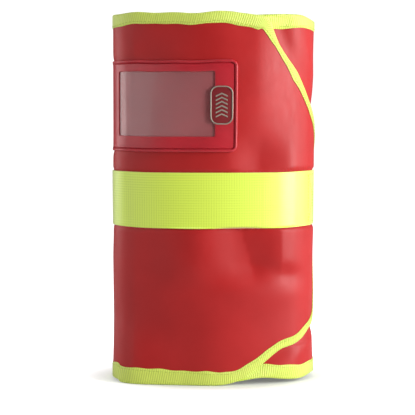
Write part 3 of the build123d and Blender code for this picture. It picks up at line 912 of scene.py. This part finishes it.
def seam(points, out, spacing=STITCH_GAP):
    """Stitches along a run of straight lines."""
    rows = []
    for a, b in zip(points[:-1], points[1:]):
        a, b = np.array(a), np.array(b)
        count = max(1, int(round(np.linalg.norm(b - a) / spacing)))
        for k in range(count):
            m, h = a + (b - a) * (k + 0.5) / count, (b - a) / count * (STITCH / STITCH_GAP / 2)
            rows.append((m - h, m + h, out, 1))
    return rows


def box_stitch(a0, a1, b0, b1, out):
    """A sewn rectangle with a cross inside it."""
    corners = [(a0, b0), (a1, b0), (a1, b1), (a0, b1), (a0, b0)]
    lines = corners, corners[0:3:2], corners[1:4:2]
    return [row for line in lines for row in seam(line, out, BOX_STITCH_GAP)]


for body_name, begin, end in (
    ("tongue", STRAP_END - 24 * mm, STRAP_END - 3 * mm), ("wrap", STRAP_START + 3 * mm, STRAP_START + 21 * mm)
):
    box = box_stitch(begin, end, STRAP_BOTTOM + BOX_STITCH_INSET, STRAP_TOP - BOX_STITCH_INSET, CLEAR + STRAP)
    stitch_rows(f"{body_name}_box_stitch", body_name, box)

tab_rows = []
for back in (2.6 * mm, 8.6 * mm):
    line = [(TAB_END - back, STRAP_BOTTOM + 2 * mm), (TAB_END - back, STRAP_TOP - 2 * mm)]
    tab_rows += seam(line, TAB_LIFT + 2 * STRAP + TURNED_GAP, BOX_STITCH_GAP)
stitch_rows("pull_tab_stitches", "pull_tab", tab_rows)

# ---------------------------------------------------------------- hook and loop
def rounded_grid(s0, s1, z0, z1, radius, spacing=2.4 * mm):
    """A grid of places over a rounded rectangle on the sheet."""
    corner = radius * (1 - np.cos(np.linspace(0, pi / 2, 7)))
    middle = np.linspace(z0 + radius, z1 - radius, max(3, int((z1 - z0) / spacing)))[1:-1]
    z = np.concatenate([z0 + corner, middle, (z1 - corner)[::-1]])
    depth = np.clip(radius - np.minimum(z - z0, z1 - z), 0, radius)
    inset = radius - np.sqrt(radius**2 - depth**2)
    t = np.linspace(0, 1, max(4, int((s1 - s0) / spacing)))
    s = (s0 + inset)[:, None] + ((s1 - s0) - 2 * inset)[:, None] * t
    return s, np.broadcast_to(z[:, None], s.shape)


def pile(name, colour, scale, depth):
    """The face of hook or loop tape: a dense pile over a woven ground, darker between the tufts in painted shade."""
    tint = (*[min(1.0, 2.2 * c) for c in colour], 1)
    paint = Paint(name, colour, 0.8, Sheen_Weight=0.5, Sheen_Roughness=0.5, Sheen_Tint=tint)
    dots = paint.made("ShaderNodeTexVoronoi", "Distance", paint.place(), Scale=scale)
    # darker away from each tuft's middle: painted shade between the tufts
    paint.set(Base_Color=paint.ramp(dots, (0.1, colour), (0.7, tuple(0.45 * c for c in colour))))
    paint.bump(1.0 - dots, depth * mm)
    return paint.material


LOOP_TAPE = pile("loop_tape", (0.022, 0.022, 0.024), 900.0, 0.5)
HOOK_TAPE = pile("hook_tape", (0.014, 0.014, 0.015), 640.0, 0.8)
HOOK_AND_LOOP = 0.55 * mm
patch_start, patch_end = radians(-50), radians(2)
patch_bottom, patch_top = (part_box("loop_patch")[i][2] for i in (0, 1))


def patch(name, stretch, turns, inside, outside, material, body, node_name):
    grid = rounded_grid(
        along_at(stretch, turns + patch_start), along_at(stretch, turns + patch_end),
        patch_bottom, patch_top, 2.5 * mm,
    )
    piece = closed_sheet(name, *grid, outside, inside, material, body)
    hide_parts(node_name)
    s0, s1 = grid[0].min() + 2 * mm, grid[0].max() - 2 * mm
    z0, z1 = patch_bottom + 2 * mm, patch_top - 2 * mm
    face, away = (outside, 1) if body == "wrap" else (inside, -1)
    edge = seam([(s0, z0), (s1, z0), (s1, z1), (s0, z1), (s0, z0)], face)
    stitch_rows(f"{name}_stitches", body, [(a, b, out, away) for a, b, out, _ in edge])


patch("loop_tape_patch", 1, 0.0, 0.02 * mm, HOOK_AND_LOOP, LOOP_TAPE, "wrap", "loop_patch")
patch("hook_tape_patch", 5, 2 * pi, -SHEET - HOOK_AND_LOOP, -SHEET - 0.02 * mm, HOOK_TAPE, "tongue", "hook_patch")

# ---------------------------------------------------------------- the card pocket
def front_along(x):
    """Distance along the sheet of a place on the flap's front, from its distance right of the middle."""
    return FRONT_MIDDLE + FRONT_RADIUS * asin(x / FRONT_RADIUS)


POCKET = (along_at(3, radians(178.5)), front_along(22 * mm), 212 * mm, 296 * mm, 6 * mm)
WINDOW = (front_along(-87.5 * mm), front_along(2 * mm), 226 * mm, 285.5 * mm, 1.6 * mm)
FILM = clear_film(WINDOW[0], WINDOW[1] - WINDOW[0])
BACKING, FILM_OUT, FRAME_OUT = 0.5 * mm, 0.9 * mm, 1.9 * mm


def grown(outline, reach):
    """A rounded rectangle on the sheet, larger or smaller all round."""
    s0, s1, z0, z1, radius = outline
    return s0 - reach, s1 + reach, z0 - reach, z1 + reach, max(radius + reach, 0.4 * mm)


def loop_points(outline, across, up, corner):
    """Places round a rounded rectangle, anticlockwise from its lower right corner."""
    s0, s1, z0, z1, r = outline
    turn = np.linspace(0, pi / 2, corner, endpoint=False) - pi / 2
    centres = np.array([(s1 - r, z0 + r), (s1 - r, z1 - r), (s0 + r, z1 - r), (s0 + r, z0 + r)])
    parts = []
    for k, centre in enumerate(centres):
        a = turn + k * pi / 2
        parts.append(centre + r * np.stack([np.cos(a), np.sin(a)], -1))
        leaving = centre + r * np.array([cos(k * pi / 2), sin(k * pi / 2)])
        share = np.linspace(0, 1, (up, across)[k % 2], endpoint=False)[:, None]
        parts.append(leaving + (centres[(k + 1) % 4] - centre) * share)
    return np.concatenate(parts)


def thinned(along, out):
    """The pocket's frame is thinner towards its left end, where it's welded down flat."""
    left = 1 - smooth(along, POCKET[0] + 4 * mm, POCKET[0] + 26 * mm)
    return np.where(out > BACKING, BACKING + (out - BACKING) * (1 - 0.45 * left), out)


def loops_piece(name, loops, material, closed=True, counts=(56, 30, 8)):
    """A moulding on the flap, built from loops: each is (rounded rectangle, offset). Closed ones
    join the last loop back to the first; others end in a cap."""
    rings = [loop_points(outline, *counts) for outline, _ in loops]
    ring = len(rings[0])
    points = np.concatenate(
        [surface(r[:, 0], r[:, 1], thinned(r[:, 0], out)) for r, (_, out) in zip(rings, loops)]
    )
    faces = list(grid_faces(len(loops), ring, wrap_rows=closed, wrap_columns=True))
    if not closed:
        faces += [tuple(range(ring))[::-1], tuple(range((len(loops) - 1) * ring, len(loops) * ring))]
    piece = mesh_object(name, points, faces, np.concatenate(rings), material)
    set_sharp_edges(piece, 50)
    follow(piece, "flap")
    return piece


def steps(outline, base, *sizes):
    """Loops of a moulding: how far each is grown from an outline, and how far out from a base."""
    return [(grown(outline, reach * mm), base + out * mm) for reach, out in sizes]


def between(a, b, share):
    return tuple(p + (q - p) * share for p, q in zip(a, b))


border, sill = grown(POCKET, -3.6 * mm), grown(WINDOW, 1.0 * mm)
frame_piece = loops_piece("pocket_frame", [
    *steps(
        POCKET, 0, (-0.6, 0.2), (0, 0.4), (0.05, 1.4), (-0.25, 2.3), (-0.75, 2.75), (-1.3, 2.85), (-1.9, 2.7),
        (-2.3, 2.1), (-2.5, 1.0), (-2.9, 0.8), (-3.3, 1.0), (-3.6, 1.9),
    ),
    *[(between(border, sill, share), FRAME_OUT + 0.05 * mm) for share in (0.33, 0.67)],
    *steps(WINDOW, 0, (1.0, 1.9), (0.35, 1.85), (0.05, 1.6), (0, 1.2), (0.1, 0.92), (3, 0.55)),
], FRAME_RED)
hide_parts("id_frame")

backing_piece = closed_sheet(
    "pocket_backing", *rounded_grid(*grown(POCKET, -0.8 * mm)), BACKING, CLEAR, FRAME_RED, "flap"
)
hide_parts("id_backing")
film_piece = closed_sheet(
    "pocket_film", *rounded_grid(*grown(WINDOW, 2.0 * mm)), FILM_OUT, FILM_OUT - 0.3 * mm, FILM, "flap"
)
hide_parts("id_window")

# The badge: a plain silver rim round a red dish with a stack of chevrons
BADGE_X, BADGE_Z, BADGE_WIDE, BADGE_TALL = 8 * mm, 254.3 * mm, 20 * mm, 35 * mm
badge_middle = front_along(BADGE_X)
BADGE = (
    badge_middle - BADGE_WIDE / 2, badge_middle + BADGE_WIDE / 2,
    BADGE_Z - BADGE_TALL / 2, BADGE_Z + BADGE_TALL / 2, 7 * mm,
)
badge_counts = (14, 20, 9)
badge_rim = loops_piece("badge_rim", steps(
    BADGE, FRAME_OUT, (-0.3, 0), (0, 0.2), (0, 0.9), (-0.25, 1.3), (-0.6, 1.4), (-0.95, 1.3), (-1.2, 0.9), (-1.2, 0),
), BADGE_SILVER, counts=badge_counts)
loops_piece("badge_dish", steps(
    BADGE, FRAME_OUT, (-0.9, 0), (-0.9, 0.55), (-3.2, 0.6), (-5.2, 0.65), (-7.5, 0.68), (-9.6, 0.7),
), BADGE_RED, closed=False, counts=badge_counts)
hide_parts("badge")


def chevrons(count, pitch, half, rise, thick, tall):
    """Raised chevrons one above another on the badge."""
    points, faces = [], []
    section = np.array([(-0.5, 0.0), (-0.42, 0.75), (-0.25, 1.0), (0.25, 1.0), (0.42, 0.75), (0.5, 0.0)])
    for k in range(count):
        z = BADGE_Z + (k - (count - 1) / 2) * pitch - rise / 2
        x = np.linspace(-half, half, 13)
        y = rise * (1 - np.abs(x) / half)
        s = badge_middle + x[:, None] + 0 * section[None, :, 0]
        zz = z + y[:, None] + thick * section[None, :, 0]
        out = FRAME_OUT + 0.5 * mm + tall * section[None, :, 1] + 0 * s
        faces += [tuple(i + len(points) * s.size for i in q) for q in tube_faces(*s.shape)]
        points.append(surface(s, zz, out).reshape(-1, 3))
    piece = mesh_object("badge_chevrons", np.concatenate(points), faces, None, BADGE_SILVER)
    set_sharp_edges(piece, 40)
    follow(piece, "flap")


chevrons(6, 3.7 * mm, 5.2 * mm, 2.6 * mm, 1.5 * mm, 0.65 * mm)

# ---------------------------------------------------------------- the blanket
PLIES, PLY_PITCH, PLY_THICK = 6, 1.0 * mm, 0.6 * mm
ROLL_FOOT, ROLL_TOP = (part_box("blanket_roll")[i][2] for i in (0, 1))
ROLL_INSET = 11.2 * mm
ROLL_DEPTH = HALF_DEPTH - ROLL_INSET
ROLL_CORE = HALF_WIDTH - HALF_DEPTH
ROLL_PITCH = 6.05 * mm
STACK = (PLIES - 1) * PLY_PITCH + PLY_THICK
ROLL_TURNS = (ROLL_DEPTH - STACK) / ROLL_PITCH - 0.02
FACING = 1.75 * pi  # where the rolled blanket's outer end lies


def roll_oval(angle):
    """The roll's outer face in plan, by the angle it faces."""
    wrapped = (angle + pi / 2) % (2 * pi) - pi / 2
    right = np.abs(wrapped) <= side_angle
    left = np.abs(wrapped - pi) <= side_angle
    back = (wrapped > side_angle) & (wrapped < pi - side_angle)
    cx = np.where(right, side_x, np.where(left, -side_x, 0.0))
    cy = np.where(right | left, 0.0, np.where(back, -flat_shift, flat_shift))
    radius = np.where(right | left, SIDE_RADIUS, FRONT_RADIUS) - ROLL_INSET
    return cx + radius * np.cos(wrapped), cy + radius * np.sin(wrapped)


def roll_place(angle, depth):
    """A place in the roll: turns go in from the outer oval to a flat core."""
    share = (ROLL_PITCH * angle / (2 * pi) + depth) / ROLL_DEPTH
    x, y = roll_oval(angle + FACING)
    reach = ROLL_CORE * np.clip(x / side_x, -1, 1)
    return x * (1 - share) + reach * share, y * (1 - share)


def roll_angles():
    """Angles round the roll, closer together where it turns sharply."""
    dense = np.linspace(0, 2 * pi * ROLL_TURNS, 6000)
    x, y = roll_place(dense, 0.0)
    step = np.hypot(np.diff(x), np.diff(y))
    heading = np.unwrap(np.arctan2(np.diff(y), np.diff(x)))
    cost = np.concatenate([[0], np.cumsum(step / (7 * mm) + np.abs(np.gradient(heading)) / radians(14))])
    even = np.linspace(0, cost[-1], int(cost[-1]))
    length = float(step.sum())
    return np.interp(even, cost, dense), length


def ply_path():
    """Height and depth across the folded width: six plies with a turn between each two."""
    height, depth = [], []
    tall = ROLL_TOP - ROLL_FOOT - 3 * mm
    for k in range(PLIES):
        z = np.linspace(0, 1, 9)
        z = z if k % 2 == 0 else 1 - z
        height += list((z - 0.5) * tall)
        depth += [k * PLY_PITCH] * 9
        if k < PLIES - 1:
            turn = np.linspace(-pi / 2, pi / 2, 6)[1:-1]
            end = 0.5 if k % 2 == 0 else -0.5
            height += list(end * tall + np.sign(end) * PLY_PITCH / 2 * np.cos(turn))
            depth += list(k * PLY_PITCH + PLY_PITCH / 2 * (1 + np.sin(turn)))
    path = np.stack([height, depth], -1)
    t = np.gradient(path, axis=0)
    t /= np.linalg.norm(t, axis=1, keepdims=True)
    return path, np.stack([t[:, 1], -t[:, 0]], -1)


def make_blanket():
    angles, length = roll_angles()
    path, normal = ply_path()
    faces_of = []
    for side in (-0.5, 0.5):
        p = path + normal * PLY_THICK * side
        # fold heights wander a little along the roll
        edge = np.abs(path[:, 0]) / np.abs(path[:, 0]).max()
        ply = np.round(path[:, 1] / PLY_PITCH)
        wander = np.sin(angles[:, None] * 1.7 + ply * 2.1) + 0.6 * np.sin(angles[:, None] * 4.3 + ply * 1.3)
        z = (ROLL_FOOT + ROLL_TOP) / 2 + p[:, 0] - 0.75 * mm * edge**6 * (1 + wander / 1.6) * np.sign(path[:, 0])
        x, y = roll_place(angles[:, None], p[:, 1] + PLY_THICK / 2)
        faces_of.append(np.stack([centre_x + x, centre_y + y, z], -1))
    outer, inner = faces_of
    rows, columns = outer.shape[:2]
    count = rows * columns
    quads = np.concatenate([grid_faces(rows, columns, flip=True), grid_faces(rows, columns, first=count)])
    loop = rim_loop(rows, columns)
    edge_faces = [(b, a, a + count, b + count) for a, b in zip(loop, np.roll(loop, -1))]
    across = np.concatenate([[0], np.cumsum(np.linalg.norm(np.diff(path, axis=0), axis=1))])
    travel = np.concatenate([[0], np.cumsum(np.linalg.norm(np.diff(outer[:, 0], axis=0), axis=1))])
    uv = np.stack(np.broadcast_arrays(travel[:, None], across[None, :]), -1).reshape(-1, 2)
    points = np.concatenate([outer.reshape(-1, 3), inner.reshape(-1, 3)])
    faces = list(quads) + edge_faces
    piece = mesh_object("folded_blanket", points, faces, np.concatenate([uv, uv]), GLASS_CLOTH)
    set_sharp_edges(piece, 70)
    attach(piece, "blanket")
    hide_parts("blanket_roll")


def glass_cloth():
    """Woven glass fibre: off white, satin, with the weave showing in bumps and in painted shade between the threads.
    """
    paint = Paint("glass_cloth", (0.74, 0.72, 0.66), 0.48, Sheen_Weight=0.25)
    threads = paint.weave(1.1 * mm)
    # painted shade between the threads, over a cloudy random tone
    shade = threads * 0.45 + paint.noise(35.0, 4.0) * 0.6
    paint.set(Base_Color=paint.ramp(shade, (0.2, (0.52, 0.50, 0.44)), (0.75, (0.78, 0.76, 0.70))))
    paint.bump(threads, 0.25 * mm)
    return paint.material


GLASS_CLOTH = glass_cloth()
# its darker red is painted shade in the valleys between the ribs
RED_WEBBING = webbing("red_webbing", (0.42, 0.016, 0.02), (0.27, 0.008, 0.012), 1.5 * mm, 0.25 * mm)
PALE_THREAD = plain("pale_thread", (0.62, 0.58, 0.55), 0.6, 1800.0, 0.08)
make_blanket()

# ---------------------------------------------------------------- pull tapes
TAPE, TAPE_WIDTH, TAPE_LENGTH, TAPE_ANCHOR = 1.5 * mm, 25 * mm, 48 * mm, 12 * mm
TAPE_X = 6 * mm
TAPE_Z = ROLL_TOP + 0.3 * mm + 0.8 * mm


def tape_place(side):
    def place(x, z, y):
        return np.stack(np.broadcast_arrays(centre_x + side * x, centre_y + y, z), -1)
    return place


def make_tape(side, word):
    """One pull tape with its end turned over and sewn, and the anchor it hangs from."""
    half = TAPE_WIDTH / 2
    hinge = TAPE_X + TAPE_ANCHOR
    x = np.linspace(hinge + 0.2 * mm, hinge + TAPE_LENGTH - 1.0 * mm, 90)
    path = np.stack([x, np.full(len(x), TAPE_Z)], -1)
    turned = fold_back(path, 16 * mm, TAPE + 0.1 * mm)
    tape = ribbon(
        f"{word}_tape_webbing", turned, -half, half, TAPE, tape_place(side), RED_WEBBING, 1.9 * mm, 0.1 * mm
    )
    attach(tape, f"{word}_tape")
    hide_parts(f"pull_tape_{word}")
    end = hinge + TAPE_LENGTH
    sewn_face = TAPE_Z + TAPE * 1.5 + 0.1 * mm
    sewn = box_stitch(end - 14 * mm, end - 3 * mm, 2.5 * mm - half, half - 2.5 * mm, sewn_face)
    stitch_rows(
        f"{word}_tape_stitches", f"{word}_tape", sewn, PALE_THREAD,
        lambda x, y, z: tape_place(side)(x, z, y),
    )
    # the anchor comes up out of the roll and lies flat to the fold
    turn = np.linspace(pi, pi / 2, 9)
    rise = np.stack([np.full(24, TAPE_X), np.linspace(TAPE_Z - 26 * mm, TAPE_Z - 2 * mm, 24)], -1)
    bend = np.stack([TAPE_X + 2 * mm * (1 + np.cos(turn)), TAPE_Z - 2 * mm * (1 - np.sin(turn))], -1)[1:]
    flat = np.stack([np.linspace(TAPE_X + 2 * mm, hinge, 24), np.full(24, TAPE_Z)], -1)[1:]
    anchor = ribbon(f"{word}_anchor_webbing", np.concatenate([rise, bend, flat]), -half, half, TAPE,
                    tape_place(side), RED_WEBBING, 1.9 * mm, 0.1 * mm)
    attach(anchor, "blanket")
    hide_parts(f"tape_anchor_{word}")


make_tape(-1, "left")
make_tape(1, "right")

# ---------------------------------------------------------------- floor and light
def area_light(name, place, aim, size, power):
    data = bpy.data.lights.new(name, "AREA")
    data.shape = "RECTANGLE"
    data.size, data.size_y = size
    data.energy = power
    light = bpy.data.objects.new(name, data)
    light.location = place
    direction = np.array(aim) - np.array(place)
    flat = np.hypot(direction[0], direction[1])
    light.rotation_euler = (pi / 2 + atan2(direction[2], flat), 0, atan2(direction[1], direction[0]) - pi / 2)
    bpy.context.collection.objects.link(light)


def make_world():
    """White to the camera, and dim as a light."""
    world = bpy.data.worlds.new("studio")
    world.use_nodes = True
    tree = world.node_tree
    tree.nodes.clear()
    output = node(tree, "ShaderNodeOutputWorld")
    path = node(tree, "ShaderNodeLightPath")
    seen = node(tree, "ShaderNodeBackground", Color=(1, 1, 1, 1), Strength=1.1)
    lit = node(tree, "ShaderNodeBackground", Color=(1, 1, 1, 1), Strength=0.03)
    mix = node(tree, "ShaderNodeMixShader")
    tree.links.new(path.outputs["Is Camera Ray"], mix.inputs[0])
    tree.links.new(lit.outputs[0], mix.inputs[1])
    tree.links.new(seen.outputs[0], mix.inputs[2])
    tree.links.new(mix.outputs[0], output.inputs["Surface"])
    bpy.context.scene.world = world


def make_floor():
    """A white floor that glows to the camera and burns out to the backdrop away from the object; near the object the
    glow is weaker, a painted shadow round it.
    """
    paint = Paint("floor", grey(0.7), 0.9, Emission_Color=(1, 1, 1, 1))
    distance = paint.made("ShaderNodeVectorMath", "Value", paint.place(1.1, 1.6, 0.0), operation="LENGTH")
    away = node(paint.tree, "ShaderNodeMapRange")
    plug(paint.tree, distance, away.inputs["Value"])
    # the glow is weakest near the object: a painted shadow round it
    for socket, value in (("From Min", 0.09), ("From Max", 0.16), ("To Min", 0.15), ("To Max", 1.1)):
        away.inputs[socket].default_value = value
    seen = paint.made("ShaderNodeLightPath", "Is Camera Ray")
    paint.set(Emission_Strength=seen * Value(paint.tree, away.outputs["Result"]))
    bpy.ops.mesh.primitive_plane_add(size=8, location=(0, 0, -0.05 * mm))
    floor = bpy.context.object
    floor.name = "floor"
    floor.data.materials.append(paint.material)


def ring_light(name, azimuth, power, size=(0.9, 1.0), rise=12, distance=1.25):
    """A softbox facing the object, at an angle round to its right."""
    turn, up = radians(azimuth), radians(rise)
    place = (distance * sin(turn) * cos(up), -distance * cos(turn) * cos(up), 0.17 + distance * sin(up))
    area_light(name, place, (0, 0, 0.17), size, power)


make_camera()
make_world()
make_floor()
TALL = (0.4, 0.9)  # a narrow upright softbox
ring_light("key_front", 60, 19.3, TALL)
ring_light("key_side", 90, 6.0, TALL)
ring_light("key_back", 125, 1.5)
ring_light("left_side", -60, 4.5)
ring_light("left_back", -110, 6.5)
area_light("top_box", (0.0, -0.15, 1.5), (0, 0, 0.17), (1.3, 1.1), 6.7)
bpy.context.scene.view_settings.view_transform = "Standard"
